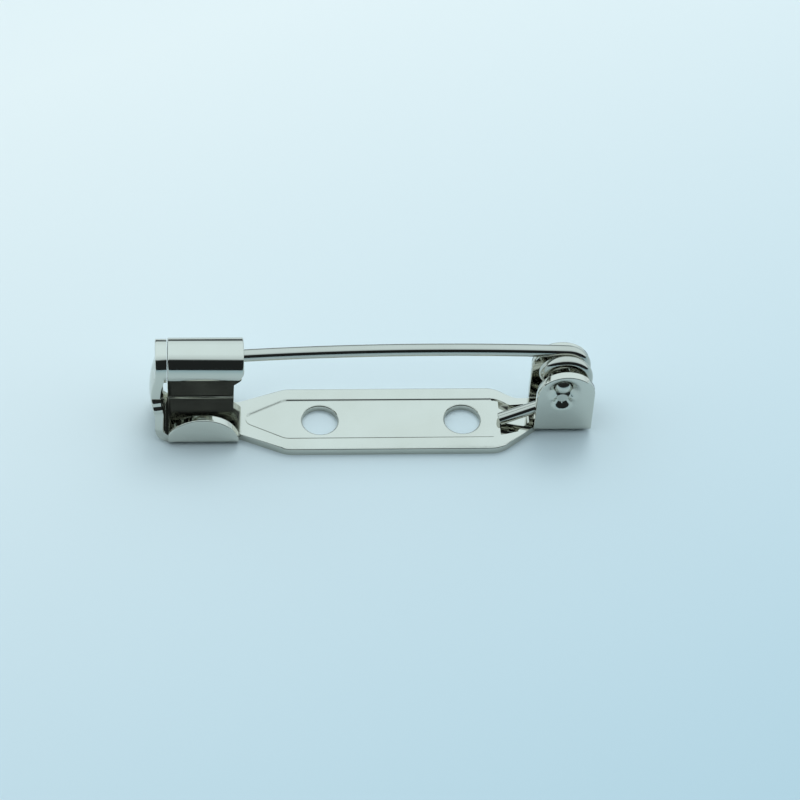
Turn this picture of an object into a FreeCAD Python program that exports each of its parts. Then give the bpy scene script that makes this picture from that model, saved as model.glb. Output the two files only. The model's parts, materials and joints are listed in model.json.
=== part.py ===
"""Brooch pin finding: a stamped bar with a hook catch, a sprung pin and its hinge rivet.

The origin is midway between the two fixing holes, on the underside of the bar. +X runs from the
catch to the hinge, +Y away from the mouth of the hook, +Z up through the bar. Millimetres.
"""
import FreeCAD
import Part
import math
import os

from FreeCAD import Vector

# Sheet metal
SHEET = 0.48                  # thickness of the stamped sheet
INNER_BEND = 0.12             # inside radius of the folded ears and walls
OUTER_BEND = SHEET + INNER_BEND

# Flat bar
BAR_HALF_WIDTH = 2.22
BAR_SHOULDER_X = 5.95         # where the full width ends, on both sides of the middle
BAR_SHOULDER_RADIUS = 1.6
NECK_X = -8.50                # where the bar meets the catch
NECK_HALF_WIDTH = 1.17
NECK_MIDDLE_Y = 0.10
HINGE_WAIST = ((7.02, 1.42), (8.30, -0.44))   # far and near corners where the bar meets the ears
WAIST_RADIUS = 0.6
HOLE_SPACING = 8.0
HOLE_RADIUS = 1.0
HOLE_RIM = 0.09               # rolled rim of each fixing hole

# Pressed panel in the bar
PANEL_DEPTH = 0.09
PANEL_HALF_WIDTH = 1.36
PANEL_MIDDLE_Y = 0.05
PANEL_SHOULDER_X = 6.0
PANEL_TIP_X = -8.42
PANEL_TIP_RADIUS = 0.45
POCKET_X = 6.10               # the panel steps down here, under the pin's tail
POCKET_END_X = 7.75
POCKET_FLOOR = 0.12
POCKET_LIP_RADIUS = 0.16

# Hinge ears
EAR_FRONT_Y = -0.80           # outer face of the near ear
EAR_BACK_Y = 2.00             # outer face of the far ear
EAR_FRONT_X = 9.59            # middle of the near ear
EAR_BACK_X = 9.48
EAR_HALF_WIDTH = 1.61
EAR_FRONT_TOP_Z = 4.78
EAR_BACK_TOP_Z = 4.65
EAR_CORNER = 0.35             # rounded lower corner on the free side

# Hinge axis, rivet and the dimples round its ends
PIVOT_X = 9.42
PIVOT_Z = 3.62
RIVET_RADIUS = 0.46
RIVET_CLEARANCE = 0.01
RIVET_DOME = 0.16
CRATER_RADIUS = 0.89
CRATER_DEPTH = 0.34
SCAR_RADIUS = 0.62            # second punch mark, below the near crater
SCAR_DROP = 0.88
SCAR_DEPTH = 0.30

# Catch
CATCH_LEFT_X = -12.50
CATCH_RIGHT_X = -8.35         # right end of the hook
CATCH_WALL_X = -8.79          # right end of the back wall and floor
LIP_RIGHT_X = -8.60
LIP_FRONT_Y = -1.55           # outer face of the half-moon lip
LIP_TOP_Z = 2.20
LIP_MIDDLE_X = -10.60
LIP_ARC_RADIUS = 2.08
BACK_WALL_Y = 2.15            # outer face of the back wall
HOOK_RADIUS = 1.28            # outside of the rolled hook
HOOK_AXIS_Z = 4.52
HOOK_WRAP_DEG = 192.0         # from the back wall over the top to the free edge
HOOK_CORNER = 0.45
RELIEF_LOW_Z = 1.45           # the back wall widens to the hook's length between these heights
RELIEF_HIGH_Z = 1.86

# End wall of the catch
END_OUTER_X = -13.24
END_THICKNESS = 0.48
END_BEND = 0.95               # outside radius where it folds up from the floor
END_RIM_RADIUS = 1.22         # its rounded top, on the hook's axis
END_RIM_INNER_X = -12.60
END_FOOT_Y = -1.20
END_BACK_Y = 1.95
END_STEPS = ((2.62, -0.50), (2.20, -0.66))   # height and front edge of each small step
END_KNEE_Y = -0.82
END_KNEE_Z = 1.90
DOME_RADIUS = 1.70            # the end wall bulges outward in a shallow dome
DOME_HEIGHT = 0.32
DOME_Y = 0.50
DOME_Z = 2.75

# Pin
WIRE_RADIUS = 0.35
COIL_X = 9.585                # the coil hangs a little to the free side of the rivet
COIL_Z = 3.69
COIL_BACK_Y = 1.13            # first loop, beside the far ear
COIL_HALF_TURNS = (           # radius to the middle of the wire, sideways shift
    (1.13, 0.30),
    (1.09, 0.42),
    (1.20, 0.31),
)
ARM_MOUTH_X = -8.20
ARM_MOUTH_Y = 0.87
ARM_MOUTH_Z = 4.925
ARM_RISE_DEG = 4.0            # slope of the arm where it leaves the coil
ARM_STRAIGHT = 2.3            # straight stretch inside the hook
POINT_LENGTH = 1.5
POINT_TIP_RADIUS = 0.04
TAIL_LEAVE_DEG = 41.0         # slope of the tail where it leaves the coil
TAIL_LEAVE_SPLAY_DEG = -1.0
TAIL_SLOPE_DEG = 21.2         # and past its gentle bend, between the ears
TAIL_SPLAY_DEG = 6.2
TAIL_START = 0.28             # straight stretch before the bend
TAIL_BEND_RADIUS = 5.0
TAIL_LENGTH = 2.74            # straight stretch after the bend


def wire_of(points):
    """A closed wire of straight lines through points."""
    return Part.makePolygon(list(points) + [points[0]])


def plate_xy(points, z0, z1):
    """A plate with a plan outline, between two heights."""
    outline = wire_of([Vector(x, y, z0) for x, y in points])
    return Part.Face(outline).extrude(Vector(0, 0, z1 - z0))


def arc_point(cx, cy, radius, degrees):
    """A point on a circle, as a pair."""
    a = math.radians(degrees)
    return cx + radius * math.cos(a), cy + radius * math.sin(a)


def section_face(edges):
    """A face from edges drawn in the plane X = 0."""
    return Part.Face(Part.Wire(Part.__sortEdges__(edges)))


def line_yz(a, b):
    """A straight edge between two (y, z) pairs."""
    return Part.LineSegment(Vector(0, *a), Vector(0, *b)).toShape()


def arc_yz(cy, cz, radius, start, middle, end):
    """A round edge in the plane X = 0, through three angles in degrees."""
    points = [Vector(0, *arc_point(cy, cz, radius, d)) for d in (start, middle, end)]
    return Part.Arc(*points).toShape()


def fillet_vertical(shape, places, radius):
    """Round the vertical edges that stand nearest to each (x, y) place."""
    chosen = []
    for x, y in places:
        upright = [e for e in shape.Edges if abs(e.tangentAt(e.FirstParameter).z) > 0.999]
        chosen.append(min(upright, key=lambda e: math.hypot(e.CenterOfMass.x - x, e.CenterOfMass.y - y)))
    return shape.makeFillet(radius, chosen)


def cylinder_y(x, z, radius, y0, y1):
    """A cylinder along Y."""
    return Part.makeCylinder(radius, y1 - y0, Vector(x, y0, z), Vector(0, 1, 0))


def cone_y(x, z, r0, r1, y0, y1):
    """A cone along +Y or -Y, from radius r0 at y0 to r1 at y1."""
    direction = Vector(0, 1 if y1 > y0 else -1, 0)
    return Part.makeCone(r0, r1, abs(y1 - y0), Vector(x, y0, z), direction)


def bar_blank():
    """The flat bar, from the neck at the catch to the floor between the ears."""
    top, low = NECK_MIDDLE_Y + NECK_HALF_WIDTH, NECK_MIDDLE_Y - NECK_HALF_WIDTH
    far_waist, near_waist = HINGE_WAIST
    outline = [
        (CATCH_WALL_X - 0.2, top), (NECK_X, top), (-BAR_SHOULDER_X, BAR_HALF_WIDTH),
        (BAR_SHOULDER_X, BAR_HALF_WIDTH), far_waist, (near_waist[0], far_waist[1]), near_waist,
        (BAR_SHOULDER_X + 0.12, -BAR_HALF_WIDTH), (-BAR_SHOULDER_X, -BAR_HALF_WIDTH),
        (NECK_X, low), (CATCH_WALL_X - 0.2, low)]
    blank = plate_xy(outline, 0, SHEET)
    shoulders = [(-BAR_SHOULDER_X, BAR_HALF_WIDTH), (-BAR_SHOULDER_X, -BAR_HALF_WIDTH),
                 (BAR_SHOULDER_X, BAR_HALF_WIDTH), (BAR_SHOULDER_X + 0.12, -BAR_HALF_WIDTH)]
    blank = fillet_vertical(blank, shoulders, BAR_SHOULDER_RADIUS)
    return fillet_vertical(blank, [far_waist], WAIST_RADIUS)


def panel_recess():
    """The shallow pressed panel: a long hexagon with a rounded tip towards the catch."""
    y0, y1 = PANEL_MIDDLE_Y - PANEL_HALF_WIDTH, PANEL_MIDDLE_Y + PANEL_HALF_WIDTH
    tip = PANEL_TIP_X - 0.35
    outline = [(tip, PANEL_MIDDLE_Y), (-PANEL_SHOULDER_X, y0), (PANEL_SHOULDER_X, y0), (7.10, -1.02),
               (7.10, 0.66), (PANEL_SHOULDER_X, y1), (-PANEL_SHOULDER_X, y1)]
    recess = plate_xy(outline, SHEET - PANEL_DEPTH, SHEET + 1)
    recess = fillet_vertical(recess, [(tip, PANEL_MIDDLE_Y)], PANEL_TIP_RADIUS)
    shoulders = [(-PANEL_SHOULDER_X, y0), (-PANEL_SHOULDER_X, y1), (PANEL_SHOULDER_X, y1)]
    return fillet_vertical(recess, shoulders, 1.0)


def tail_pocket():
    """The deeper step under the tail, at the hinge end of the panel."""
    outline = [(POCKET_X, -1.20), (7.05, -0.98), (POCKET_END_X, -0.34), (POCKET_END_X, 1.0),
               (6.75, 0.92), (POCKET_X, 1.25)]
    return plate_xy(outline, POCKET_FLOOR, SHEET + 1)


def fixing_hole(x):
    """One fixing hole with its rolled rim."""
    floor = SHEET - PANEL_DEPTH
    hole = Part.makeCylinder(HOLE_RADIUS, 2, Vector(x, 0, -1))
    rim = Part.makeCone(HOLE_RADIUS, HOLE_RADIUS + 2 * HOLE_RIM, 2 * HOLE_RIM, Vector(x, 0, floor - HOLE_RIM))
    return hole.fuse(rim)


def ear_side_profile(middle_x, top_z, y0, y1):
    """The side outline of an ear, as a solid between two depths: square foot and round top."""
    left, right = middle_x - EAR_HALF_WIDTH, middle_x + EAR_HALF_WIDTH
    centre_z = top_z - EAR_HALF_WIDTH
    edges = [
        Part.LineSegment(Vector(left, y0, 0), Vector(left, y0, centre_z)).toShape(),
        Part.Arc(Vector(left, y0, centre_z), Vector(middle_x, y0, top_z),
                 Vector(right, y0, centre_z)).toShape(),
        Part.LineSegment(Vector(right, y0, centre_z), Vector(right, y0, EAR_CORNER)).toShape(),
        Part.LineSegment(Vector(right, y0, EAR_CORNER), Vector(right - EAR_CORNER, y0, 0)).toShape(),
        Part.LineSegment(Vector(right - EAR_CORNER, y0, 0), Vector(left, y0, 0)).toShape()]
    return Part.Face(Part.Wire(edges)).extrude(Vector(0, y1 - y0, 0))


def hinge_channel():
    """The floor between the ears and both ears, folded up from it."""
    outer0, outer1 = EAR_FRONT_Y, EAR_BACK_Y
    inner0, inner1 = outer0 + SHEET, outer1 - SHEET
    bend0, bend1 = outer0 + OUTER_BEND, outer1 - OUTER_BEND
    top = EAR_FRONT_TOP_Z + 0.1
    edges = [
        line_yz((outer0, top), (outer0, OUTER_BEND)),
        arc_yz(bend0, OUTER_BEND, OUTER_BEND, 180, 225, 270),
        line_yz((bend0, 0), (bend1, 0)),
        arc_yz(bend1, OUTER_BEND, OUTER_BEND, 270, 315, 360),
        line_yz((outer1, OUTER_BEND), (outer1, top)),
        line_yz((outer1, top), (inner1, top)),
        line_yz((inner1, top), (inner1, OUTER_BEND)),
        arc_yz(bend1, OUTER_BEND, INNER_BEND, 360, 315, 270),
        line_yz((bend1, SHEET), (bend0, SHEET)),
        arc_yz(bend0, OUTER_BEND, INNER_BEND, 270, 225, 180),
        line_yz((inner0, OUTER_BEND), (inner0, top)),
        line_yz((inner0, top), (outer0, top))]
    length = 2 * EAR_HALF_WIDTH + 0.4
    start = EAR_BACK_X - EAR_HALF_WIDTH - 0.1
    channel = section_face(edges).extrude(Vector(length, 0, 0))
    channel.translate(Vector(start, 0, 0))
    middle = (inner0 + inner1) / 2
    near = ear_side_profile(EAR_FRONT_X, EAR_FRONT_TOP_Z, outer0 - 1, middle)
    far = ear_side_profile(EAR_BACK_X, EAR_BACK_TOP_Z, middle, outer1 + 1)
    return channel.common(near.fuse(far))


def crater(face_y, inward):
    """The dimple round one end of the rivet, and the hole through the ear."""
    cone = cone_y(PIVOT_X, PIVOT_Z, CRATER_RADIUS, RIVET_RADIUS + RIVET_CLEARANCE,
                  face_y, face_y + inward * CRATER_DEPTH)
    low, high = sorted((face_y - inward, face_y + inward * (SHEET + 0.5)))
    return cone.fuse(cylinder_y(PIVOT_X, PIVOT_Z, RIVET_RADIUS + RIVET_CLEARANCE, low, high))


def punch_scar():
    """The second mark of the punch, under the near crater."""
    z = PIVOT_Z - SCAR_DROP
    return cone_y(PIVOT_X, z, SCAR_RADIUS, 0.5 * SCAR_RADIUS, EAR_FRONT_Y, EAR_FRONT_Y + SCAR_DEPTH)


def catch_section():
    """Lip, floor, back wall and hook as one bent strip, in the plane X = 0."""
    lip0, lip1 = LIP_FRONT_Y, LIP_FRONT_Y + SHEET
    wall1, wall0 = BACK_WALL_Y, BACK_WALL_Y - SHEET
    bend_l, bend_r = lip0 + OUTER_BEND, wall1 - OUTER_BEND
    axis_y = BACK_WALL_Y - HOOK_RADIUS
    bore = HOOK_RADIUS - SHEET
    half = HOOK_WRAP_DEG / 2
    tip_out = arc_point(axis_y, HOOK_AXIS_Z, HOOK_RADIUS, HOOK_WRAP_DEG)
    tip_in = arc_point(axis_y, HOOK_AXIS_Z, bore, HOOK_WRAP_DEG)
    edges = [
        line_yz((lip0, LIP_TOP_Z), (lip0, OUTER_BEND)),
        arc_yz(bend_l, OUTER_BEND, OUTER_BEND, 180, 225, 270),
        line_yz((bend_l, 0), (bend_r, 0)),
        arc_yz(bend_r, OUTER_BEND, OUTER_BEND, 270, 315, 360),
        line_yz((wall1, OUTER_BEND), (wall1, HOOK_AXIS_Z)),
        arc_yz(axis_y, HOOK_AXIS_Z, HOOK_RADIUS, 0, half, HOOK_WRAP_DEG),
        line_yz(tip_out, tip_in),
        arc_yz(axis_y, HOOK_AXIS_Z, bore, HOOK_WRAP_DEG, half, 0),
        line_yz((wall0, HOOK_AXIS_Z), (wall0, OUTER_BEND)),
        arc_yz(bend_r, OUTER_BEND, INNER_BEND, 360, 315, 270),
        line_yz((bend_r, SHEET), (bend_l, SHEET)),
        arc_yz(bend_l, OUTER_BEND, INNER_BEND, 270, 225, 180),
        line_yz((lip1, OUTER_BEND), (lip1, LIP_TOP_Z)),
        line_yz((lip1, LIP_TOP_Z), (lip0, LIP_TOP_Z))]
    return section_face(edges)


def side_cut(points, y0, y1):
    """A cutter with an outline in the XZ plane, between two depths."""
    outline = wire_of([Vector(x, y0, z) for x, z in points])
    return Part.Face(outline).extrude(Vector(0, y1 - y0, 0))


def lip_trim():
    """What is cut from the strip to leave the half-moon lip."""
    depth0, depth1 = LIP_FRONT_Y - 1, LIP_FRONT_Y + SHEET + INNER_BEND
    block = Part.makeBox(6, depth1 - depth0, 4, Vector(LIP_MIDDLE_X - 3, depth0, OUTER_BEND * 0.6))
    moon = cylinder_y(LIP_MIDDLE_X, LIP_TOP_Z - LIP_ARC_RADIUS, LIP_ARC_RADIUS, depth0 - 1, depth1 + 1)
    return block.cut(moon)


def catch_strip():
    """The catch as cut and folded, without its end wall."""
    strip = catch_section().extrude(Vector(CATCH_RIGHT_X - CATCH_LEFT_X, 0, 0))
    strip.translate(Vector(CATCH_LEFT_X, 0, 0))
    strip = strip.cut(lip_trim())
    behind = LIP_FRONT_Y + OUTER_BEND
    right = CATCH_RIGHT_X + 1
    wall_notch = side_cut([(CATCH_WALL_X, -1), (right, -1), (right, RELIEF_HIGH_Z),
                           (CATCH_RIGHT_X, RELIEF_HIGH_Z), (CATCH_WALL_X, RELIEF_LOW_Z)], behind, 4)
    lip_end = Part.makeBox(2, 4, 3, Vector(LIP_RIGHT_X, LIP_FRONT_Y - 2, -1))
    front = BACK_WALL_Y - 2 * HOOK_RADIUS
    corner = side_cut([(CATCH_RIGHT_X - HOOK_CORNER, 3), (right, 3), (right, HOOK_AXIS_Z + 0.15),
                       (CATCH_RIGHT_X, HOOK_AXIS_Z + 0.15),
                       (CATCH_RIGHT_X - 0.13, HOOK_AXIS_Z - 0.12)], front - 1, front + HOOK_RADIUS)
    return strip.cut(wall_notch).cut(lip_end).cut(corner)


def end_wall_blank():
    """The end wall and its fold, as wide as the catch."""
    x0, x1 = END_OUTER_X, END_OUTER_X + END_THICKNESS
    inner = END_BEND - END_THICKNESS
    cx = x0 + END_BEND
    depth0, depth1 = LIP_FRONT_Y - 1, BACK_WALL_Y + 1
    top = HOOK_AXIS_Z + END_RIM_RADIUS + 1

    def at(x, z):
        return Vector(x, depth0, z)

    def arc(radius, degrees):
        return Part.Arc(*[at(*arc_point(cx, END_BEND, radius, d)) for d in degrees]).toShape()

    edges = [
        Part.LineSegment(at(x0, top), at(x0, END_BEND)).toShape(),
        arc(END_BEND, (180, 225, 270)),
        Part.LineSegment(at(cx, 0), at(CATCH_LEFT_X + 0.3, 0)).toShape(),
        Part.LineSegment(at(CATCH_LEFT_X + 0.3, 0), at(CATCH_LEFT_X + 0.3, END_THICKNESS)).toShape(),
        Part.LineSegment(at(CATCH_LEFT_X + 0.3, END_THICKNESS), at(cx, END_THICKNESS)).toShape(),
        arc(inner, (270, 225, 180)),
        Part.LineSegment(at(x1, END_BEND), at(x1, top)).toShape(),
        Part.LineSegment(at(x1, top), at(x0, top)).toShape()]
    return Part.Face(Part.Wire(edges)).extrude(Vector(0, depth1 - depth0, 0))


def end_wall_outline(x0, x1):
    """The outline of the end wall seen from the end, as a solid from x0 to x1."""
    axis_y = BACK_WALL_Y - HOOK_RADIUS
    (z_a, y_a), (z_b, y_b) = END_STEPS
    step = 0.20
    front = axis_y - END_RIM_RADIUS
    points = [(front, HOOK_AXIS_Z), (y_a + 0.02, z_a + step), (y_a, z_a + step), (y_a - 0.14, z_a),
              (y_b, z_b + step), (y_b - 0.14, z_b), (END_KNEE_Y, END_KNEE_Z), (END_FOOT_Y + 0.08, 0.9),
              (END_FOOT_Y, 0.3), (END_FOOT_Y, -0.5), (END_BACK_Y, -0.5), (END_BACK_Y, 3.6),
              (axis_y + END_RIM_RADIUS, HOOK_AXIS_Z)]
    outline = wire_of([Vector(x0, y, z) for y, z in points])
    body = Part.Face(outline).extrude(Vector(x1 - x0, 0, 0))
    rim = Part.makeCylinder(END_RIM_RADIUS, x1 - x0, Vector(x0, axis_y, HOOK_AXIS_Z), Vector(1, 0, 0))
    return body.fuse(rim)


def slab_x(x0, x1):
    """A block across the whole catch, from x0 to x1."""
    return Part.makeBox(x1 - x0, 8, 9, Vector(x0, -4, -1.5))


def dome_ball(shrink):
    """The ball whose cap is the bulge of the end wall."""
    radius = (DOME_RADIUS ** 2 + DOME_HEIGHT ** 2) / (2 * DOME_HEIGHT)
    return Part.makeSphere(radius - shrink, Vector(END_OUTER_X - DOME_HEIGHT + radius, DOME_Y, DOME_Z))


def end_wall():
    """The wall that closes the left end of the catch, with its rounded top and its bulge."""
    outline = end_wall_outline(END_OUTER_X - 1, CATCH_LEFT_X + 1)
    inner_x = END_OUTER_X + END_THICKNESS
    axis_y = BACK_WALL_Y - HOOK_RADIUS
    rim = Part.makeCylinder(END_RIM_RADIUS, END_RIM_INNER_X - END_OUTER_X,
                            Vector(END_OUTER_X, axis_y, HOOK_AXIS_Z), Vector(1, 0, 0))
    bulge = dome_ball(0).common(slab_x(END_OUTER_X - 1, END_OUTER_X + 0.05)).common(outline)
    hollow = dome_ball(END_THICKNESS).common(slab_x(END_OUTER_X - 1, inner_x))
    wall = end_wall_blank().common(outline).fuse(bulge).cut(hollow)
    return wall.fuse(rim.cut(hollow))


def base_plate():
    """The whole stamping: bar, catch and ears in one solid."""
    plate = bar_blank().fuse(hinge_channel()).fuse(catch_strip()).fuse(end_wall())
    plate = plate.cut(panel_recess()).cut(tail_pocket())
    for side in (-1, 1):
        plate = plate.cut(fixing_hole(side * HOLE_SPACING / 2))
    plate = plate.cut(crater(EAR_FRONT_Y, 1)).cut(crater(EAR_BACK_Y, -1)).cut(punch_scar())
    return plate.removeSplitter()


def turn(point, heading, new_heading, radius):
    """An arc that swings heading round to new_heading. Returns its edge and its end point."""
    axis = heading.cross(new_heading)
    axis.normalize()
    side = axis.cross(heading)
    centre = point + side * radius
    whole = heading.getAngle(new_heading)

    def on_arc(angle):
        return centre - side * (radius * math.cos(angle)) + heading * (radius * math.sin(angle))

    end = on_arc(whole)
    return Part.Arc(point, on_arc(whole / 2), end).toShape(), end


def arm_heading():
    """The way the arm leaves the coil, towards the hook."""
    rise = math.radians(ARM_RISE_DEG)
    drift = math.atan2(COIL_BACK_Y - ARM_MOUTH_Y, COIL_X - ARM_MOUTH_X)
    return Vector(-math.cos(rise) * math.cos(drift), -math.cos(rise) * math.sin(drift), math.sin(rise))


def coil_start():
    """Where the far loop of the coil meets the arm, just past the top of the loop."""
    rise = math.radians(ARM_RISE_DEG)
    radius = COIL_HALF_TURNS[0][0]
    return Vector(COIL_X + radius * math.sin(rise), COIL_BACK_Y, COIL_Z + radius * math.cos(rise))


def tail_heading(slope_deg, splay_deg):
    """A direction down towards the catch, splayed towards the near edge."""
    slope, splay = math.radians(slope_deg), math.radians(splay_deg)
    return Vector(-math.cos(slope) * math.cos(splay), -math.cos(slope) * math.sin(splay), -math.sin(slope))


def coil_and_tail():
    """The coil's one and a half turns and the tail, as edges from the top of the far loop."""
    bends = []
    for number, (radius, shift) in enumerate(COIL_HALF_TURNS):
        tilt = math.asin(shift / (2 * radius))
        way = -1 if number % 2 == 0 else 1
        bends.append((Vector(0, -math.sin(tilt), way * math.cos(tilt)), radius))
        bends.append((Vector(way, 0, 0), radius))
    bends[-1] = (tail_heading(TAIL_LEAVE_DEG, TAIL_LEAVE_SPLAY_DEG), COIL_HALF_TURNS[-1][0])
    point = coil_start()
    heading = arm_heading() * -1
    edges = []
    for new_heading, radius in bends:
        edge, point = turn(point, heading, new_heading, radius)
        edges.append(edge)
        heading = new_heading
    bend_start = point + heading * TAIL_START
    last_heading = tail_heading(TAIL_SLOPE_DEG, TAIL_SPLAY_DEG)
    bend, bend_end = turn(bend_start, heading, last_heading, TAIL_BEND_RADIUS)
    end = bend_end + last_heading * TAIL_LENGTH
    print("tail: coil (%.3f, %.3f, %.3f), bend ends (%.3f, %.3f, %.3f), end (%.3f, %.3f, %.3f)"
          % (tuple(point) + tuple(bend_end) + tuple(end)))
    edges += [Part.LineSegment(point, bend_start).toShape(), bend, Part.LineSegment(bend_end, end).toShape()]
    return edges


def arm_edges():
    """The bowed arm from the coil to the start of its point, inside the hook."""
    start = coil_start()
    leaving = arm_heading()
    chord = Vector(ARM_MOUTH_X, ARM_MOUTH_Y, ARM_MOUTH_Z) - start
    radius = chord.Length / (2 * math.sin(leaving.getAngle(chord)))
    across = chord * (1 / chord.Length)
    arriving = across * (2 * across.dot(leaving)) - leaving
    bow, point = turn(start, leaving, arriving, radius)
    end = point + arriving * ARM_STRAIGHT
    return [bow, Part.LineSegment(point, end).toShape()], end, arriving


def pin_wire():
    """One wire: point, arm, coil and tail."""
    arm, end, heading = arm_edges()
    edges = [e for e in reversed(arm)] + coil_and_tail()
    path = Part.Wire(Part.__sortEdges__(edges))
    ring = Part.Wire(Part.makeCircle(WIRE_RADIUS, end, heading))
    body = path.makePipeShell([ring], True, False)
    point = Part.makeCone(WIRE_RADIUS, POINT_TIP_RADIUS, POINT_LENGTH, end, heading)
    length = path.Length
    print("pin wire: path %.2f mm, volume %.3f, section times length %.3f"
          % (length, body.Volume, math.pi * WIRE_RADIUS ** 2 * length))
    return body.fuse(point).removeSplitter()


def hinge_rivet():
    """The short pivot, with a dome at each end."""
    y0, y1 = EAR_FRONT_Y + 0.06, EAR_BACK_Y - 0.06
    shank = cylinder_y(PIVOT_X, PIVOT_Z, RIVET_RADIUS, y0, y1)
    radius = (RIVET_RADIUS ** 2 + RIVET_DOME ** 2) / (2 * RIVET_DOME)
    near = Part.makeSphere(radius, Vector(PIVOT_X, y0 - RIVET_DOME + radius, PIVOT_Z))
    far = Part.makeSphere(radius, Vector(PIVOT_X, y1 + RIVET_DOME - radius, PIVOT_Z))
    near_cap = near.common(cylinder_y(PIVOT_X, PIVOT_Z, RIVET_RADIUS, y0 - 1, y0))
    far_cap = far.common(cylinder_y(PIVOT_X, PIVOT_Z, RIVET_RADIUS, y1, y1 + 1))
    return shank.fuse(near_cap).fuse(far_cap).removeSplitter()


def save(name, shape):
    """Write one solid to parts/ and print what it is."""
    solids = shape.Solids
    box = shape.BoundBox
    print("%s: %d solid, valid %s, volume %.3f, X %.3f..%.3f Y %.3f..%.3f Z %.3f..%.3f" % (
        name, len(solids), shape.isValid(), shape.Volume,
        box.XMin, box.XMax, box.YMin, box.YMax, box.ZMin, box.ZMax))
    solids[0].exportStep(os.path.join("parts", name + ".step"))


os.makedirs("parts", exist_ok=True)
save("base_plate", base_plate())
save("pin_wire", pin_wire())
save("hinge_rivet", hinge_rivet())
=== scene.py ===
"""The brooch pin finding as a scene: plated sheet, sprung wire, rivet, table and light."""
import json
import math

import bpy
from bpy.props import FloatProperty, FloatVectorProperty, IntProperty, PointerProperty
from mathutils import Matrix, Vector

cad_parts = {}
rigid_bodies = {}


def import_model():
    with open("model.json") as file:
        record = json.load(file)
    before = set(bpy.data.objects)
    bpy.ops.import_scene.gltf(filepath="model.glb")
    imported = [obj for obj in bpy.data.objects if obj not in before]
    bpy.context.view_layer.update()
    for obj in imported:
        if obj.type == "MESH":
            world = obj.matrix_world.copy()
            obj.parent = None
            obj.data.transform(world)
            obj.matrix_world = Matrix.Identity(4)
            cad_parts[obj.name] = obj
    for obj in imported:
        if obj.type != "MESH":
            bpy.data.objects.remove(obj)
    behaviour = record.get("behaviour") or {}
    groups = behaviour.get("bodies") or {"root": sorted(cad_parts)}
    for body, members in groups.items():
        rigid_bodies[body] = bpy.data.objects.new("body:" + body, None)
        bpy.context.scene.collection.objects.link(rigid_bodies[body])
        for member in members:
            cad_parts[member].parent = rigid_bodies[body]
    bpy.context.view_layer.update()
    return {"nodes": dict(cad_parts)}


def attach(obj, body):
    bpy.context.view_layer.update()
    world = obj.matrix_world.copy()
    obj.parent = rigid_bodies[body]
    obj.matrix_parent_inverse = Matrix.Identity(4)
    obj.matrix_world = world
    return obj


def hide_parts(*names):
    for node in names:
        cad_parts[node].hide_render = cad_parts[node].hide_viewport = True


bl_info = {
    "name": "Brooch Pin Finding",
    "version": (1, 0, 0),
    "blender": (4, 5, 0),
    "location": "View3D > Sidebar > Brooch",
    "description": "Builds a bar brooch back with its hook, sprung pin and rivet",
    "category": "Add Mesh",
}

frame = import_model()

MM = 0.001                                 # pieces are modelled in millimetres, then shrunk

# Hinge and coil, in millimetres, as in the solids
PIVOT = (9.42, 3.62)                       # x, z
RIVET_ENDS = (-0.52, 1.94)                 # y, before the domes
RIVET_SIDES = 64
RIVET_RINGS = 6                            # steps from the rim of a dome to its middle
COIL_CENTRE = Vector((9.585, 1.13, 3.69))
COIL_HALF_TURNS = ((1.13, 0.30), (1.09, 0.42), (1.20, 0.31))   # radius, sideways shift
COIL_STEPS = 24                            # faces along a quarter turn
HOOK_MOUTH = Vector((-8.20, 0.87, 4.925))
ARM_RISE = math.radians(4.0)
ARM_STEPS = 60
ARM_STRAIGHT = 2.3
POINT_STEPS = (                            # length, wire radius at its end
    (0.35, 0.330), (0.40, 0.270), (0.35, 0.195), (0.25, 0.125), (0.12, 0.070), (0.03, 0.035))
TAIL_LEAVE = (math.radians(41.0), math.radians(-1.0))          # slope, splay
TAIL_LEAVE_STEPS = 16
TAIL_LAST = (math.radians(21.2), math.radians(6.2))
TAIL_START = 0.28
TAIL_BEND_RADIUS = 5.0
TAIL_BEND_STEPS = 8
TAIL_LENGTH = 2.74
TAIL_TIP = (0.03, 0.92)                    # length and scale of the cut end's small chamfer
WIRE_WELD = 1e-4

# Stamped sheet, in millimetres
SHEET_TOP = 0.48
SHEET_WELD = 0.005
PANEL_WELD = 0.004
FLAT = math.radians(0.8)                   # faces that meet at less are merged
SHARP = math.radians(25.0)                 # edges that turn by more may be rounded
LEVEL = 0.99                               # a level face's normal has at least this z
UPRIGHT = 0.05                             # and an upright face's at most this
NEAR = 0.01
HOLE_X = 4.0
HOLE_CLEAR = 1.2                           # vertices within this of a hole's middle stay
PANEL_FLOOR = 0.39                         # height of the sunk panel
PANEL_DEPTH = 0.09
PANEL_SLOPE = 0.09                         # width of its sloping wall
PANEL_SPREAD = 1.055                       # widening of the slope across the bar
PANEL_SHIFT = -0.03                        # and its move towards the near edge
PANEL_CUTS = (5.65, 5.87)                  # where the slope dies out before the pocket, x
PANEL_SHOULDER = 5.95
PANEL_X = (-8.6, 9.0)
PANEL_LOW = 0.3
SLOPE_X = (-8.7, 5.6)
SLOPE_Z = (0.40, 0.47)
SLOPE_NORMAL = (0.3, 0.95)                 # z of the slope's normals
HOOK_LEFT_X = (-12.52, -12.45)             # the hook's left end
HOOK_STRETCH = 0.06
HOOK_LOW = 2.9

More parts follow.
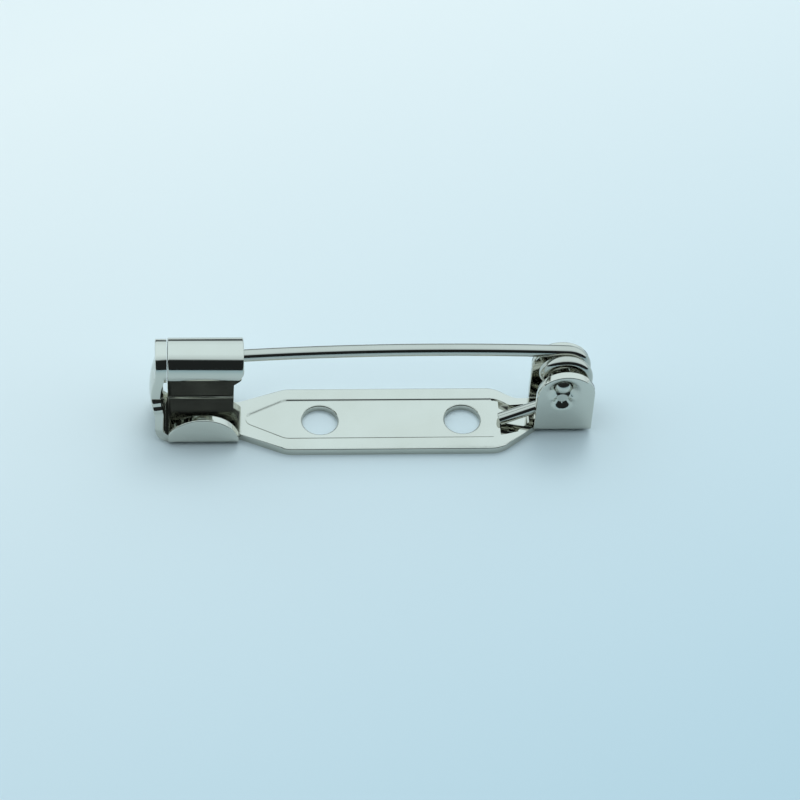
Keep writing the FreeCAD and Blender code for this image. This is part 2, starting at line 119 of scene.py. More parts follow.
# Places of the rounded edges, in millimetres
BAR_X = (-8.3, 6.8)
BAR_MIDDLE = 0.8                           # half the width that holds no outline
PANEL_EDGE_X = (-8.7, 6.0)
PANEL_EDGE_Z = (0.37, 0.5)
PANEL_EDGE_NORMAL = (0.5, 0.9)
EAR_FACE = -0.79                           # just behind the near ear's outer face, y
CRATER_LOW = 1.7
PUNCH_DROP = 0.4                           # middle of both punch marks, under the pivot
CRATER_REACH = 1.35
EARS_X = 7.4
EARS_LOW = 1.2
EARS_INSIDE = 1.4
HOOK_END = -12.58
LIP_X, LIP_Y = -8.5, -0.9
LIP_Z = (0.7, 2.3)
END_WALL_X = -13.1
END_WALL_LOW = 0.5

# Camera, fitted to the photograph, in millimetres
VIEW_AZIMUTH = math.radians(-6.5)
VIEW_ELEVATION = math.radians(49.5)
VIEW_ROLL = math.radians(-4.57)
VIEW_DISTANCE = 220.0
VIEW_TARGET = Vector((0.614, 1.75, 0.0))
VIEW_WIDTH = 45.20                         # across the picture at the target
SENSOR = 36.0

# Table and light, in metres
TABLE_SIZE = 0.5
# The near colour is painted shade: the table turns darker and bluer towards its near right corner.
TABLE_SHADE_COLOUR = (0.50, 0.63, 0.69, 1.0)       # colour of the table at its near right corner
TABLE_FAR = (0.03, 0.04, 0.04, 1.0)        # and past the top of the picture
TABLE_SHADE_LEAN = -0.45                         # how far the pale part leans to the left
TABLE_SHADE_FADE = (0.036, -0.034)               # from pale to the near colour
FAR_EDGE = (0.036, 0.046)                  # y where the dark far strip begins
FAR_WIDTH = (0.060, 0.040)                 # x where it ends at each side
LAMP_PLACE = (0.05, 0.18, 0.30)
LAMP_SIZE = 0.16
LAMP_ENERGY = 0.27
LAMP_COLOUR = (0.95, 1.0, 1.0)
TENT_STRENGTH = 1.25
TENT_SIDES = (0.25, 0.45)                  # sideways part of the direction where the back opens
# Height above the near horizon in degrees, brightness
NEAR_BANDS = (
    (-180.0, 0.03), (-170.0, 0.55), (-14.0, 0.55), (-9.0, 0.02), (50.0, 0.02), (56.0, 0.75),
    (80.0, 1.0), (130.0, 1.0))
DARK_BACK = ((160.0, 0.90), (172.0, 0.10), (179.9, 0.03))
OPEN_BACK = ((160.0, 0.95), (179.9, 0.75))


class BroochSizes(bpy.types.PropertyGroup):
    """Sizes of the finished pieces."""
    wire_radius: FloatProperty(
        name="Wire radius", description="Half the thickness of the pin's wire, in millimetres",
        default=0.35, min=0.2, max=0.5)
    rivet_radius: FloatProperty(
        name="Rivet radius", description="Half the thickness of the hinge rivet, in millimetres",
        default=0.46, min=0.3, max=0.6)
    rivet_dome: FloatProperty(
        name="Rivet dome", description="Height of the rivet's rounded ends, in millimetres",
        default=0.24, min=0.01, max=0.3)
    wire_sides: IntProperty(
        name="Wire sides", description="Faces round the wire", default=48, min=12, max=96)


class BroochColours(bpy.types.PropertyGroup):
    """Colours of the plating, the table and the light."""
    nickel: FloatVectorProperty(
        name="Nickel", description="Colour of the bright plating", subtype="COLOR", size=4,
        default=(0.64, 0.645, 0.59, 1.0), min=0.0, max=1.0)
    nickel_dull: FloatVectorProperty(
        name="Dull nickel", description="Colour of the plating where it is thin",
        subtype="COLOR", size=4, default=(0.56, 0.555, 0.49, 1.0), min=0.0, max=1.0)
    table: FloatVectorProperty(
        name="Table", description="Colour of the table", subtype="COLOR", size=4,
        default=(0.82, 0.83, 0.82, 1.0), min=0.0, max=1.0)
    sky: FloatVectorProperty(
        name="Light tent", description="Colour of the light above and behind",
        subtype="COLOR", size=4, default=(0.78, 0.935, 1.0, 1.0), min=0.0, max=1.0)


def sizes():
    """The size settings."""
    return bpy.context.scene.brooch_sizes


def colours():
    """The colour settings."""
    return bpy.context.scene.brooch_colours


# Shared modelling steps

def deselect_all():
    """Leave edit mode and drop the selection."""
    if bpy.context.object and bpy.context.object.mode != "OBJECT":
        bpy.ops.object.mode_set(mode="OBJECT")
    bpy.ops.object.select_all(action="DESELECT")


def activate(piece):
    """Make one piece the only selected one."""
    deselect_all()
    piece.select_set(True)
    bpy.context.view_layer.objects.active = piece


def open_with(piece, kind, chosen):
    """Go to edit mode, in one selection mode, with only the chosen parts of the mesh selected."""
    for group in (piece.data.vertices, piece.data.edges, piece.data.polygons):
        for item in group:
            item.select = False
    for item in chosen:
        item.select = True
    modes = tuple(kind == name for name in ("VERT", "EDGE", "FACE"))
    bpy.context.tool_settings.mesh_select_mode = modes
    bpy.ops.object.mode_set(mode="EDIT")


def select_faces(piece, test):
    """Select the faces whose centre and normal pass the test, from any mode."""
    bpy.ops.object.mode_set(mode="OBJECT")
    open_with(piece, "FACE",
              [face for face in piece.data.polygons if test(face.center, face.normal)])


def select_vertices(piece, test):
    """Select the vertices whose place passes the test, from any mode."""
    bpy.ops.object.mode_set(mode="OBJECT")
    open_with(piece, "VERT", [vertex for vertex in piece.data.vertices if test(vertex.co)])


def select_edges(piece, test):
    """Select the sharp edges whose middle and face normals pass the test, from any mode."""
    bpy.ops.object.mode_set(mode="OBJECT")
    mesh = piece.data
    sides = {}
    for face in mesh.polygons:
        for key in face.edge_keys:
            sides.setdefault(key, []).append(face.normal)
    chosen = []
    for edge in mesh.edges:
        normals = sides[tuple(sorted(edge.vertices))]
        if len(normals) != 2 or normals[0].angle(normals[1]) <= SHARP:
            continue
        ends = [mesh.vertices[index].co for index in edge.vertices]
        if test((ends[0] + ends[1]) / 2, normals):
            chosen.append(edge)
    open_with(piece, "EDGE", chosen)


def within(value, limits):
    """Whether a value lies between two limits."""
    return limits[0] < value < limits[1]


def on_bar(middle, normals):
    """Upper outline of the bar."""
    side = min(normals, key=lambda normal: abs(normal.z))
    return (within(middle.x, BAR_X) and abs(middle.z - SHEET_TOP) < 0.02
            and max(normal.z for normal in normals) > 0.9 and abs(side.z) < 0.1
            and side.y * middle.y > 0.2 and abs(middle.y) > BAR_MIDDLE)


def on_panel(middle, normals):
    """Upper and lower edges of the sunk panel's sloping wall."""
    return (within(middle.x, PANEL_EDGE_X) and within(middle.z, PANEL_EDGE_Z)
            and max(normal.z for normal in normals) > 0.98
            and within(min(normal.z for normal in normals), PANEL_EDGE_NORMAL))


def from_punch(middle):
    """Distance from the middle of both punch marks of the near ear."""
    return math.hypot(middle.x - PIVOT[0], middle.z - PIVOT[1] + PUNCH_DROP)


def on_crater(middle, normals):
    """Mouth of the crater round the rivet, with the scar under it."""
    return (middle.y < EAR_FACE and middle.z > CRATER_LOW
            and min(normal.y for normal in normals) < -0.99
            and from_punch(middle) < CRATER_REACH)


def on_ears(middle, normals):
    """Outline of the ears, on their outer and inner faces."""
    return (middle.x > EARS_X and middle.z > EARS_LOW
            and max(abs(normal.y) for normal in normals) > 0.95
            and from_punch(middle) > EARS_INSIDE)


def on_curl(middle, normals):
    """Ends of the rolled hook."""
    return (middle.z > HOOK_LOW and middle.x > HOOK_END
            and max(abs(normal.x) for normal in normals) > 0.7)


def on_lip(middle, normals):
    """Rounded top of the near lip."""
    return (middle.y < LIP_Y and middle.x < LIP_X and within(middle.z, LIP_Z)
            and max(abs(normal.y) for normal in normals) > 0.9)


def on_end_wall(middle, normals):
    """Rim of the end wall."""
    return (middle.x < END_WALL_X and middle.z > END_WALL_LOW
            and max(abs(normal.x) for normal in normals) > 0.9)


def apply_place(piece):
    """Shrink from millimetres and leave the piece's place in its mesh."""
    activate(piece)
    piece.scale = (MM, MM, MM)
    piece.location = piece.location * MM
    bpy.ops.object.transform_apply(location=True, rotation=True, scale=True)


def smooth_round(piece):
    """Smooth shading for a turned or drawn piece."""
    activate(piece)
    bpy.ops.object.shade_smooth_by_angle(angle=math.radians(40))


def smooth_sheet(piece):
    """Smooth shading that keeps the sharp edges, with flat faces kept flat."""
    activate(piece)
    bpy.ops.object.shade_smooth_by_angle(angle=math.radians(50))
    weights = piece.modifiers.new("Flat faces", "WEIGHTED_NORMAL")
    weights.keep_sharp = True
    weights.weight = 60
    bpy.ops.object.modifier_apply(modifier=weights.name)


# Nodes and materials

def add_math(nodes, operation, second=None):
    """Add a Math node, with its second value where that is fixed."""
    node = nodes.new("ShaderNodeMath")
    node.operation = operation
    if second is not None:
        node.inputs[1].default_value = second
    return node


def add_fade(nodes, limits, interpolation="LINEAR"):
    """Add a Map Range node that goes from 0 to 1 between two limits."""
    node = nodes.new("ShaderNodeMapRange")
    node.interpolation_type = interpolation
    node.inputs["From Min"].default_value = limits[0]
    node.inputs["From Max"].default_value = limits[1]
    return node


def add_mix(nodes):
    """Add a Mix node for colours."""
    node = nodes.new("ShaderNodeMix")
    node.data_type = "RGBA"
    return node


def ripple_group():
    """Node group: the faint unevenness of plated metal, as a normal."""
    group = bpy.data.node_groups.new("Plating ripple", "ShaderNodeTree")
    make = group.interface.new_socket
    make(name="Scale", in_out="INPUT", socket_type="NodeSocketFloat").default_value = 900.0
    make(name="Height", in_out="INPUT", socket_type="NodeSocketFloat").default_value = 0.02
    make(name="Normal", in_out="OUTPUT", socket_type="NodeSocketVector")
    nodes, link = group.nodes, group.links.new
    source = nodes.new("NodeGroupInput")
    sink = nodes.new("NodeGroupOutput")
    place = nodes.new("ShaderNodeTexCoord")
    noise = nodes.new("ShaderNodeTexNoise")
    noise.inputs["Detail"].default_value = 3.0
    noise.inputs["Roughness"].default_value = 0.45
    bump = nodes.new("ShaderNodeBump")
    bump.inputs["Distance"].default_value = 0.0001
    link(place.outputs["Object"], noise.inputs["Vector"])
    link(source.outputs["Scale"], noise.inputs["Scale"])
    link(source.outputs["Height"], bump.inputs["Strength"])
    link(noise.outputs["Fac"], bump.inputs["Height"])
    link(bump.outputs["Normal"], sink.inputs["Normal"])
    return group


def tone_group():
    """Node group: cloudy tone of the plating, from bright to dull, and its gloss."""
    group = bpy.data.node_groups.new("Plating tone", "ShaderNodeTree")
    make = group.interface.new_socket
    make(name="Bright", in_out="INPUT", socket_type="NodeSocketColor")
    make(name="Dull", in_out="INPUT", socket_type="NodeSocketColor")
    make(name="Scale", in_out="INPUT", socket_type="NodeSocketFloat").default_value = 350.0
    make(name="Smoothest", in_out="INPUT", socket_type="NodeSocketFloat").default_value = 0.05
    make(name="Roughest", in_out="INPUT", socket_type="NodeSocketFloat").default_value = 0.14
    make(name="Color", in_out="OUTPUT", socket_type="NodeSocketColor")
    make(name="Roughness", in_out="OUTPUT", socket_type="NodeSocketFloat")
    nodes, link = group.nodes, group.links.new
    source = nodes.new("NodeGroupInput")
    sink = nodes.new("NodeGroupOutput")
    place = nodes.new("ShaderNodeTexCoord")
    cloud = nodes.new("ShaderNodeTexNoise")
    cloud.inputs["Detail"].default_value = 5.0
    mix = add_mix(nodes)
    gloss = add_fade(nodes, (0.35, 0.70))
    link(place.outputs["Object"], cloud.inputs["Vector"])
    link(source.outputs["Scale"], cloud.inputs["Scale"])
    link(cloud.outputs["Fac"], mix.inputs["Factor"])
    link(source.outputs["Bright"], mix.inputs["A"])
    link(source.outputs["Dull"], mix.inputs["B"])
    link(cloud.outputs["Fac"], gloss.inputs["Value"])
    link(source.outputs["Smoothest"], gloss.inputs["To Min"])
    link(source.outputs["Roughest"], gloss.inputs["To Max"])
    link(mix.outputs["Result"], sink.inputs["Color"])
    link(gloss.outputs["Result"], sink.inputs["Roughness"])
    return group


def nickel_material(name, ripple_scale, ripple_height, smoothest, roughest, painted_shade=1.0):
    """Bright nickel plate with its own ripple and gloss, its colours darkened as painted shade
    when the factor is below 1.
    """
    material = bpy.data.materials.new(name)
    material.use_nodes = True
    nodes, link = material.node_tree.nodes, material.node_tree.links.new
    shader = nodes["Principled BSDF"]
    shader.inputs["Metallic"].default_value = 1.0
    tone = nodes.new("ShaderNodeGroup")
    tone.node_tree = bpy.data.node_groups.get("Plating tone") or tone_group()
    for socket, colour in (("Bright", colours().nickel), ("Dull", colours().nickel_dull)):
        tone.inputs[socket].default_value = (*(painted_shade * part for part in colour[:3]), 1.0)
    tone.inputs["Smoothest"].default_value = smoothest
    tone.inputs["Roughest"].default_value = roughest
    ripple = nodes.new("ShaderNodeGroup")
    ripple.node_tree = bpy.data.node_groups.get("Plating ripple") or ripple_group()
    ripple.inputs["Scale"].default_value = ripple_scale
    ripple.inputs["Height"].default_value = ripple_height
    link(tone.outputs["Color"], shader.inputs["Base Color"])
    link(tone.outputs["Roughness"], shader.inputs["Roughness"])
    link(ripple.outputs["Normal"], shader.inputs["Normal"])
    return material


# The wire's path

def heading_of(slope, splay):
    """A direction down towards the catch, splayed towards the near edge."""
    return Vector((-math.cos(slope) * math.cos(splay), -math.cos(slope) * math.sin(splay),
                   -math.sin(slope)))


def arm_start():
    """Where the arm meets the coil, and the way it leaves."""
    drift = math.atan2(COIL_CENTRE.y - HOOK_MOUTH.y, COIL_CENTRE.x - HOOK_MOUTH.x)
    leaving = heading_of(-ARM_RISE, drift)
    radius = COIL_HALF_TURNS[0][0]
    top = radius * Vector((math.sin(ARM_RISE), 0, math.cos(ARM_RISE)))
    return COIL_CENTRE + top, leaving


def coil_bends():
    """The bends from the top of the far loop to the tail: new heading, radius, steps."""
    bends = []
    for number, (radius, shift) in enumerate(COIL_HALF_TURNS):
        tilt = math.asin(shift / (2 * radius))
        way = -1 if number % 2 == 0 else 1
        aside = Vector((0, -math.sin(tilt), way * math.cos(tilt)))
        bends.append((aside, radius, COIL_STEPS))
        bends.append((Vector((way, 0, 0)), radius, COIL_STEPS))
    bends[-1] = (heading_of(*TAIL_LEAVE), COIL_HALF_TURNS[-1][0], TAIL_LEAVE_STEPS)
    return bends


def spin_to(point, heading, new_heading, radius, steps):
    """Spin the wire's open end to a new heading. Returns the point and heading reached."""
    axis = heading.cross(new_heading).normalized()
    centre = point + axis.cross(heading) * radius
    angle = heading.angle(new_heading)
    # the spin operator turns the other way round its axis than a rotation matrix does
    bpy.ops.mesh.spin(steps=steps, angle=-angle, center=centre, axis=axis, dupli=False)
    bpy.ops.mesh.select_mode(type="VERT")
    turned = Matrix.Rotation(angle, 3, axis)
    return centre + turned @ (point - centre), (turned @ heading).normalized()


def run_on(point, heading, length):
    """Extrude the wire's open end straight on. Returns the point reached."""
    bpy.ops.mesh.extrude_edges_move(TRANSFORM_OT_translate={"value": heading * length})
    return point + heading * length


def narrow(point, ratio):
    """Scale the wire's open end about its middle."""
    bpy.ops.transform.resize(value=(ratio, ratio, ratio), center_override=point)


def draw_arm(start, leaving):
    """Draw the bowed arm, then its straight end and its point inside the hook."""
    chord = HOOK_MOUTH - start
    radius = chord.length / (2 * math.sin(leaving.angle(chord)))
    across = chord.normalized()
    arriving = across * (2 * across.dot(leaving)) - leaving
    point, heading = spin_to(start, leaving, arriving, radius, ARM_STEPS)
    point = run_on(point, heading, ARM_STRAIGHT)
    ring = sizes().wire_radius
    for length, new_ring in POINT_STEPS:
        point = run_on(point, heading, length)
        narrow(point, new_ring / ring)
        ring = new_ring


def draw_coil(start, leaving):
    """Draw the coil and the tail, from the ring at the arm's start."""
    point, heading = start, -leaving
    for new_heading, bend_radius, steps in coil_bends():
        point, heading = spin_to(point, heading, new_heading, bend_radius, steps)
    point = run_on(point, heading, TAIL_START)
    point, heading = spin_to(point, heading, heading_of(*TAIL_LAST), TAIL_BEND_RADIUS,
                             TAIL_BEND_STEPS)
    tip, tip_scale = TAIL_TIP
    point = run_on(point, heading, TAIL_LENGTH - tip)
    point = run_on(point, heading, tip)
    narrow(point, tip_scale)


class BROOCH_OT_pin_wire(bpy.types.Operator):
    """Draw the pin's wire: arm, point, coil and tail"""
    bl_idname = "brooch.pin_wire"
    bl_label = "Pin wire"
    bl_options = {"REGISTER", "UNDO"}

    def execute(self, context):
        start, leaving = arm_start()
        radius = sizes().wire_radius
        deselect_all()
        bpy.ops.mesh.primitive_circle_add(
            vertices=sizes().wire_sides, radius=radius, fill_type="NOTHING",
            location=start, rotation=leaving.to_track_quat("Z", "Y").to_euler())
        wire = context.object
        wire.name = "sprung_pin"
        bpy.ops.object.transform_apply(location=True, rotation=True, scale=True)
        bpy.ops.object.mode_set(mode="EDIT")
        bpy.ops.mesh.select_all(action="SELECT")
        draw_arm(start, leaving)
        select_vertices(wire, lambda place: abs((place - start).length - radius) < WIRE_WELD
                        and abs((place - start).dot(leaving)) < WIRE_WELD)
        draw_coil(start, leaving)
        bpy.ops.mesh.select_all(action="SELECT")
        bpy.ops.mesh.remove_doubles(threshold=WIRE_WELD)
        bpy.ops.mesh.select_all(action="DESELECT")
        bpy.ops.mesh.select_non_manifold()
        bpy.ops.mesh.fill_holes(sides=0)
        bpy.ops.mesh.select_all(action="SELECT")
        bpy.ops.mesh.normals_make_consistent(inside=False)
        bpy.ops.object.mode_set(mode="OBJECT")
        apply_place(wire)
        smooth_round(wire)
        # The wire's nickel is the sheet's nickel darkened to 0.84: painted shade for the darker
        # look of the thin wire in the light.
        wire.data.materials.append(nickel_material(
            "Nickel wire", ripple_scale=500.0, ripple_height=0.03, smoothest=0.06,
            roughest=0.12, painted_shade=0.84))
        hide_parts("pin_wire")
        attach(wire, "pin")
        return {"FINISHED"}


# Group of edges, width of the rounding, segments, test
EDGE_GROUPS = (
    ("panel", 0.04, 2, on_panel),
    ("bar", 0.08, 3, on_bar),
    ("crater", 0.12, 3, on_crater),
    ("ears", 0.07, 3, on_ears),
    ("curl", 0.09, 3, on_curl),
    ("lip", 0.07, 3, on_lip),
    ("end wall", 0.07, 3, on_end_wall),
)


def soften_panel(piece):
    """Turn the upright wall of the sunk panel into a slope, and spread it across the bar."""
    for cut in PANEL_CUTS:
        select_faces(piece, lambda centre, normal: centre.z > PANEL_LOW
                     and within(centre.x, PANEL_X)
                     and (normal.z > LEVEL or abs(normal.z) < UPRIGHT))
        bpy.ops.mesh.bisect(plane_co=(cut, 0, 0), plane_no=(1, 0, 0))
    select_faces(piece, lambda centre, normal: abs(centre.z - PANEL_FLOOR) < NEAR
                 and normal.z > LEVEL and within(centre.x, (PANEL_X[0], PANEL_CUTS[1])))
    bpy.ops.mesh.inset(thickness=PANEL_SLOPE, depth=0, use_even_offset=True)
    bpy.ops.object.mode_set(mode="OBJECT")
    # the wall's foot goes up to its top edge, so that the inset becomes the slope
    upright = set()
    for face in piece.data.polygons:
        half_way = abs(face.center.z - (PANEL_FLOOR + PANEL_DEPTH / 2)) < NEAR
        if abs(face.normal.z) < UPRIGHT and half_way and face.center.x < PANEL_SHOULDER:
            upright.update(face.vertices)
    open_with(piece, "VERT", [
        vertex for vertex in piece.data.vertices if vertex.index in upright
        and vertex.co.x < PANEL_CUTS[0] + NEAR and abs(vertex.co.z - PANEL_FLOOR) < NEAR
        and math.hypot(abs(vertex.co.x) - HOLE_X, vertex.co.y) > HOLE_CLEAR])
    bpy.ops.transform.translate(value=(0, 0, PANEL_DEPTH))
    bpy.ops.mesh.select_all(action="SELECT")
    bpy.ops.mesh.remove_doubles(threshold=PANEL_WELD)
    bpy.ops.object.mode_set(mode="OBJECT")
    slope = set()
    for face in piece.data.polygons:
        if (within(face.normal.z, SLOPE_NORMAL) and within(face.center.z, SLOPE_Z)
                and within(face.center.x, SLOPE_X)):
            slope.update(face.vertices)
    open_with(piece, "VERT", [piece.data.vertices[index] for index in slope])
    bpy.ops.transform.resize(value=(1, PANEL_SPREAD, 1), center_override=(0, 0, 0))
    bpy.ops.transform.translate(value=(0, PANEL_SHIFT, 0))
    bpy.ops.mesh.select_all(action="SELECT")
    bpy.ops.mesh.dissolve_limited(angle_limit=FLAT)


class BROOCH_OT_base_plate(bpy.types.Operator):
    """Finish the stamped bar, catch and ears: one skin with rounded edges"""
    bl_idname = "brooch.base_plate"
    bl_label = "Base plate"
    bl_options = {"REGISTER", "UNDO"}

    def execute(self, context):
        source = frame["nodes"]["base_plate"]
        activate(source)
        bpy.ops.object.duplicate()
        plate = context.object
        plate.name = "stamped_plate"
        plate.data.name = "stamped_plate"
        bpy.ops.object.parent_clear(type="CLEAR_KEEP_TRANSFORM")
        bpy.ops.object.transform_apply(location=True, rotation=True, scale=True)
        plate.scale = (1000.0, 1000.0, 1000.0)
        bpy.ops.object.transform_apply(location=False, rotation=False, scale=True)
        bpy.ops.object.mode_set(mode="EDIT")
        bpy.ops.mesh.select_all(action="SELECT")
        bpy.ops.mesh.customdata_custom_splitnormals_clear()
        bpy.ops.mesh.remove_doubles(threshold=SHEET_WELD)
        bpy.ops.mesh.dissolve_limited(angle_limit=FLAT)
        soften_panel(plate)
        select_vertices(plate, lambda place: within(place.x, HOOK_LEFT_X) and place.z > HOOK_LOW)
        bpy.ops.transform.translate(value=(-HOOK_STRETCH, 0, 0))
        for name, width, segments, test in EDGE_GROUPS:
            select_edges(plate, test)
            bpy.ops.mesh.bevel(offset=width, offset_type="OFFSET", segments=segments,
                               profile=0.5, clamp_overlap=False, miter_outer="SHARP")
        bpy.ops.object.mode_set(mode="OBJECT")
        facets = plate.modifiers.new("Even facets", "TRIANGULATE")
        facets.ngon_method = "BEAUTY"
        facets.min_vertices = 5
        bpy.ops.object.modifier_apply(modifier=facets.name)
        smooth_sheet(plate)
        apply_place(plate)
        plate.data.materials.clear()
        plate.data.materials.append(nickel_material(
            "Nickel sheet", ripple_scale=260.0, ripple_height=0.06, smoothest=0.05,
            roughest=0.11))
        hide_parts("base_plate")
        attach(plate, "plate")
        return {"FINISHED"}


class BROOCH_OT_rivet(bpy.types.Operator):
    """Turn the hinge rivet with its rounded ends"""
    bl_idname = "brooch.rivet"
    bl_label = "Hinge rivet"
    bl_options = {"REGISTER", "UNDO"}

    def execute(self, context):
        low, high = RIVET_ENDS
        radius, dome = sizes().rivet_radius, sizes().rivet_dome
        deselect_all()
        bpy.ops.mesh.primitive_cylinder_add(
            vertices=RIVET_SIDES, radius=radius, depth=high - low, end_fill_type="NGON",
            location=(PIVOT[0], (low + high) / 2, PIVOT[1]), rotation=(math.radians(90), 0, 0))
        rivet = context.object
        rivet.name = "turned_rivet"
        bpy.ops.object.transform_apply(location=True, rotation=True, scale=True)
        bpy.ops.object.mode_set(mode="EDIT")
        ball = (radius ** 2 + dome ** 2) / (2 * dome)
        for side in (-1, 1):
            select_faces(rivet, lambda centre, normal: normal.y * side > LEVEL)
            for ring in range(1, RIVET_RINGS):
                inner = radius * (1 - ring / RIVET_RINGS)
                outer = radius * (1 - (ring - 1) / RIVET_RINGS)
                rise = math.sqrt(ball ** 2 - inner ** 2) - math.sqrt(ball ** 2 - outer ** 2)
                bpy.ops.mesh.inset(thickness=radius / RIVET_RINGS, depth=0)
                bpy.ops.transform.translate(value=(0, side * rise, 0))
        bpy.ops.object.mode_set(mode="OBJECT")
        apply_place(rivet)
        smooth_round(rivet)
        rivet.data.materials.append(nickel_material(
            "Nickel rivet", ripple_scale=900.0, ripple_height=0.10, smoothest=0.08,
            roughest=0.20))
        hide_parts("hinge_rivet")
        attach(rivet, "plate")
        return {"FINISHED"}


# The stage

def table_material():
    """The pale table, with painted shade that makes it darker and bluer towards its near right
    corner, and a dark strip past the far edge.
    """
    material = bpy.data.materials.new("Pale table")
    material.use_nodes = True
    nodes, link = material.node_tree.nodes, material.node_tree.links.new
    shader = nodes["Principled BSDF"]
    shader.inputs["Roughness"].default_value = 0.55
    shader.inputs["Specular IOR Level"].default_value = 0.2
    place = nodes.new("ShaderNodeTexCoord")
    split = nodes.new("ShaderNodeSeparateXYZ")
    link(place.outputs["Object"], split.inputs["Vector"])
    # the slanting change from pale to the painted shade of the near corner
    lean = add_math(nodes, "MULTIPLY_ADD", TABLE_SHADE_LEAN)
    link(split.outputs["X"], lean.inputs[0])
    link(split.outputs["Y"], lean.inputs[2])
    fade = add_fade(nodes, TABLE_SHADE_FADE)
    link(lean.outputs["Value"], fade.inputs["Value"])
    near = add_mix(nodes)
    near.inputs["A"].default_value = colours().table
    near.inputs["B"].default_value = TABLE_SHADE_COLOUR
    link(fade.outputs["Result"], near.inputs["Factor"])
    # the dark strip behind the object, as wide as the picture
    edge = add_fade(nodes, FAR_EDGE, "SMOOTHSTEP")
    link(split.outputs["Y"], edge.inputs["Value"])
    across = add_math(nodes, "ABSOLUTE")
    link(split.outputs["X"], across.inputs[0])
    width = add_fade(nodes, FAR_WIDTH, "SMOOTHSTEP")
    link(across.outputs["Value"], width.inputs["Value"])
    both = add_math(nodes, "MULTIPLY")
    link(edge.outputs["Result"], both.inputs[0])
    link(width.outputs["Result"], both.inputs[1])
    strip = add_mix(nodes)
    strip.inputs["B"].default_value = TABLE_FAR
    link(both.outputs["Value"], strip.inputs["Factor"])
    link(near.outputs["Result"], strip.inputs["A"])
    link(strip.outputs["Result"], shader.inputs["Base Color"])
    return material


def add_ramp(nodes, colour, bands):
    """Add a colour ramp over the whole turn from the near horizon."""
    ramp = nodes.new("ShaderNodeValToRGB")
    elements = ramp.color_ramp.elements
    while len(elements) > 1:
        elements.remove(elements[-1])
    for number, (height, brightness) in enumerate(bands):
        spot = (height + 180.0) / 360.0
        element = elements[0] if number == 0 else elements.new(spot)
        element.position = spot
        element.color = (*(colour * brightness), 1.0)
    return ramp


def light_tent():
    """World light: bright above, with a dark front and, straight behind, a dark horizon."""
    world = bpy.data.worlds.new("Light tent")
    bpy.context.scene.world = world
    world.use_nodes = True
    nodes, link = world.node_tree.nodes, world.node_tree.links.new
    background = nodes["Background"]
    place = nodes.new("ShaderNodeTexCoord")
    split = nodes.new("ShaderNodeSeparateXYZ")
    link(place.outputs["Generated"], split.inputs["Vector"])
    # the direction's height above the near horizon, over the whole turn
    back = add_math(nodes, "MULTIPLY", -1.0)
    link(split.outputs["Y"], back.inputs[0])
    climb = add_math(nodes, "ARCTAN2")
    link(split.outputs["Z"], climb.inputs[0])
    link(back.outputs["Value"], climb.inputs[1])
    turn = add_fade(nodes, (-math.pi, math.pi))
    link(climb.outputs["Value"], turn.inputs["Value"])
    # the back horizon is dark only straight behind the object
    side = add_math(nodes, "ABSOLUTE")
    link(split.outputs["X"], side.inputs[0])
    aside = add_fade(nodes, TENT_SIDES, "SMOOTHSTEP")
    link(side.outputs["Value"], aside.inputs["Value"])
    blend = add_mix(nodes)
    link(aside.outputs["Result"], blend.inputs["Factor"])
    sky = Vector(colours().sky[:3])
    for socket, bands in (("A", DARK_BACK), ("B", OPEN_BACK)):
        ramp = add_ramp(nodes, sky, NEAR_BANDS + bands)
        link(turn.outputs["Result"], ramp.inputs["Fac"])
        link(ramp.outputs["Color"], blend.inputs[socket])
    link(blend.outputs["Result"], background.inputs["Color"])
    background.inputs["Strength"].default_value = TENT_STRENGTH


def window_light():
    """The soft lamp behind and above, unseen in the plating."""
    bpy.ops.object.light_add(type="AREA", location=LAMP_PLACE)
    lamp = bpy.context.object
    lamp.name = "window_light"
    lamp.data.shape = "DISK"
    lamp.data.size = LAMP_SIZE
    lamp.data.energy = LAMP_ENERGY
    lamp.data.color = LAMP_COLOUR
    lamp.visible_glossy = False
    lamp.rotation_euler = (-lamp.location).to_track_quat("-Z", "Y").to_euler()


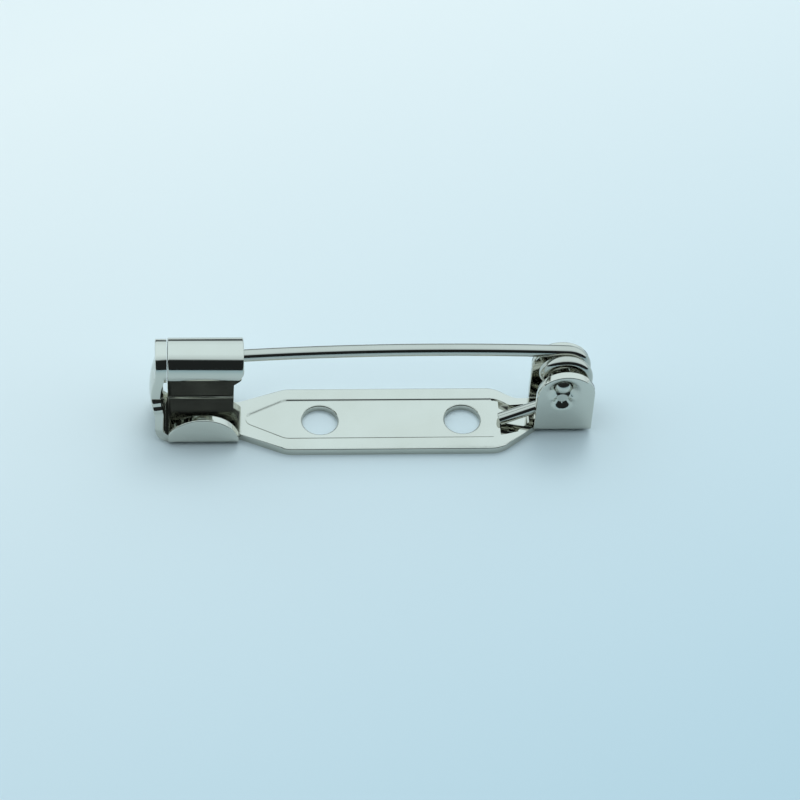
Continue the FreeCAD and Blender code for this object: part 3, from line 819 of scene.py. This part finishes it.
def photo_camera():
    """The camera at the photograph's place."""
    ca, sa = math.cos(VIEW_AZIMUTH), math.sin(VIEW_AZIMUTH)
    ce, se = math.cos(VIEW_ELEVATION), math.sin(VIEW_ELEVATION)
    cr, sr = math.cos(VIEW_ROLL), math.sin(VIEW_ROLL)
    right = Vector((ca, sa, 0))
    up = Vector((-sa * se, ca * se, ce))
    back = Vector((sa * ce, -ca * ce, se))
    axes = Matrix((right * cr - up * sr, right * sr + up * cr, back)).transposed()
    bpy.ops.object.camera_add(location=(VIEW_TARGET + back * VIEW_DISTANCE) * MM)
    camera = bpy.context.object
    camera.name = "photo_camera"
    camera.rotation_euler = axes.to_euler()
    camera.data.sensor_width = SENSOR
    camera.data.lens = SENSOR * VIEW_DISTANCE / VIEW_WIDTH
    camera.data.clip_start = 0.005
    camera.data.clip_end = 10.0
    bpy.context.scene.camera = camera


class BROOCH_OT_stage(bpy.types.Operator):
    """Set the table, the light and the camera"""
    bl_idname = "brooch.stage"
    bl_label = "Stage"
    bl_options = {"REGISTER", "UNDO"}

    def execute(self, context):
        context.scene.view_settings.view_transform = "Standard"
        deselect_all()
        bpy.ops.mesh.primitive_plane_add(size=TABLE_SIZE, location=(0, 0, 0))
        table = context.object
        table.name = "table_top"
        table.data.materials.append(table_material())
        light_tent()
        window_light()
        photo_camera()
        return {"FINISHED"}


class BROOCH_PT_panel(bpy.types.Panel):
    """Buttons for the pieces, with their sizes and colours."""
    bl_idname = "BROOCH_PT_panel"
    bl_label = "Brooch pin finding"
    bl_space_type = "VIEW_3D"
    bl_region_type = "UI"
    bl_category = "Brooch"

    def draw(self, context):
        layout = self.layout
        for group in (context.scene.brooch_sizes, context.scene.brooch_colours):
            for name in group.__annotations__:
                layout.prop(group, name)
        for step in STEPS:
            layout.operator(step.bl_idname)


STEPS = (BROOCH_OT_base_plate, BROOCH_OT_pin_wire, BROOCH_OT_rivet, BROOCH_OT_stage)
CLASSES = (BroochSizes, BroochColours) + STEPS + (BROOCH_PT_panel,)


def register():
    """Add the classes and the settings."""
    for item in CLASSES:
        bpy.utils.register_class(item)
    bpy.types.Scene.brooch_sizes = PointerProperty(type=BroochSizes)
    bpy.types.Scene.brooch_colours = PointerProperty(type=BroochColours)


def unregister():
    """Take the classes and the settings out again."""
    del bpy.types.Scene.brooch_colours
    del bpy.types.Scene.brooch_sizes
    for item in reversed(CLASSES):
        bpy.utils.unregister_class(item)


def main():
    """Build every piece."""
    register()
    bpy.ops.brooch.base_plate()
    bpy.ops.brooch.pin_wire()
    bpy.ops.brooch.rivet()
    bpy.ops.brooch.stage()
    deselect_all()


if __name__ == "__main__":
    main()
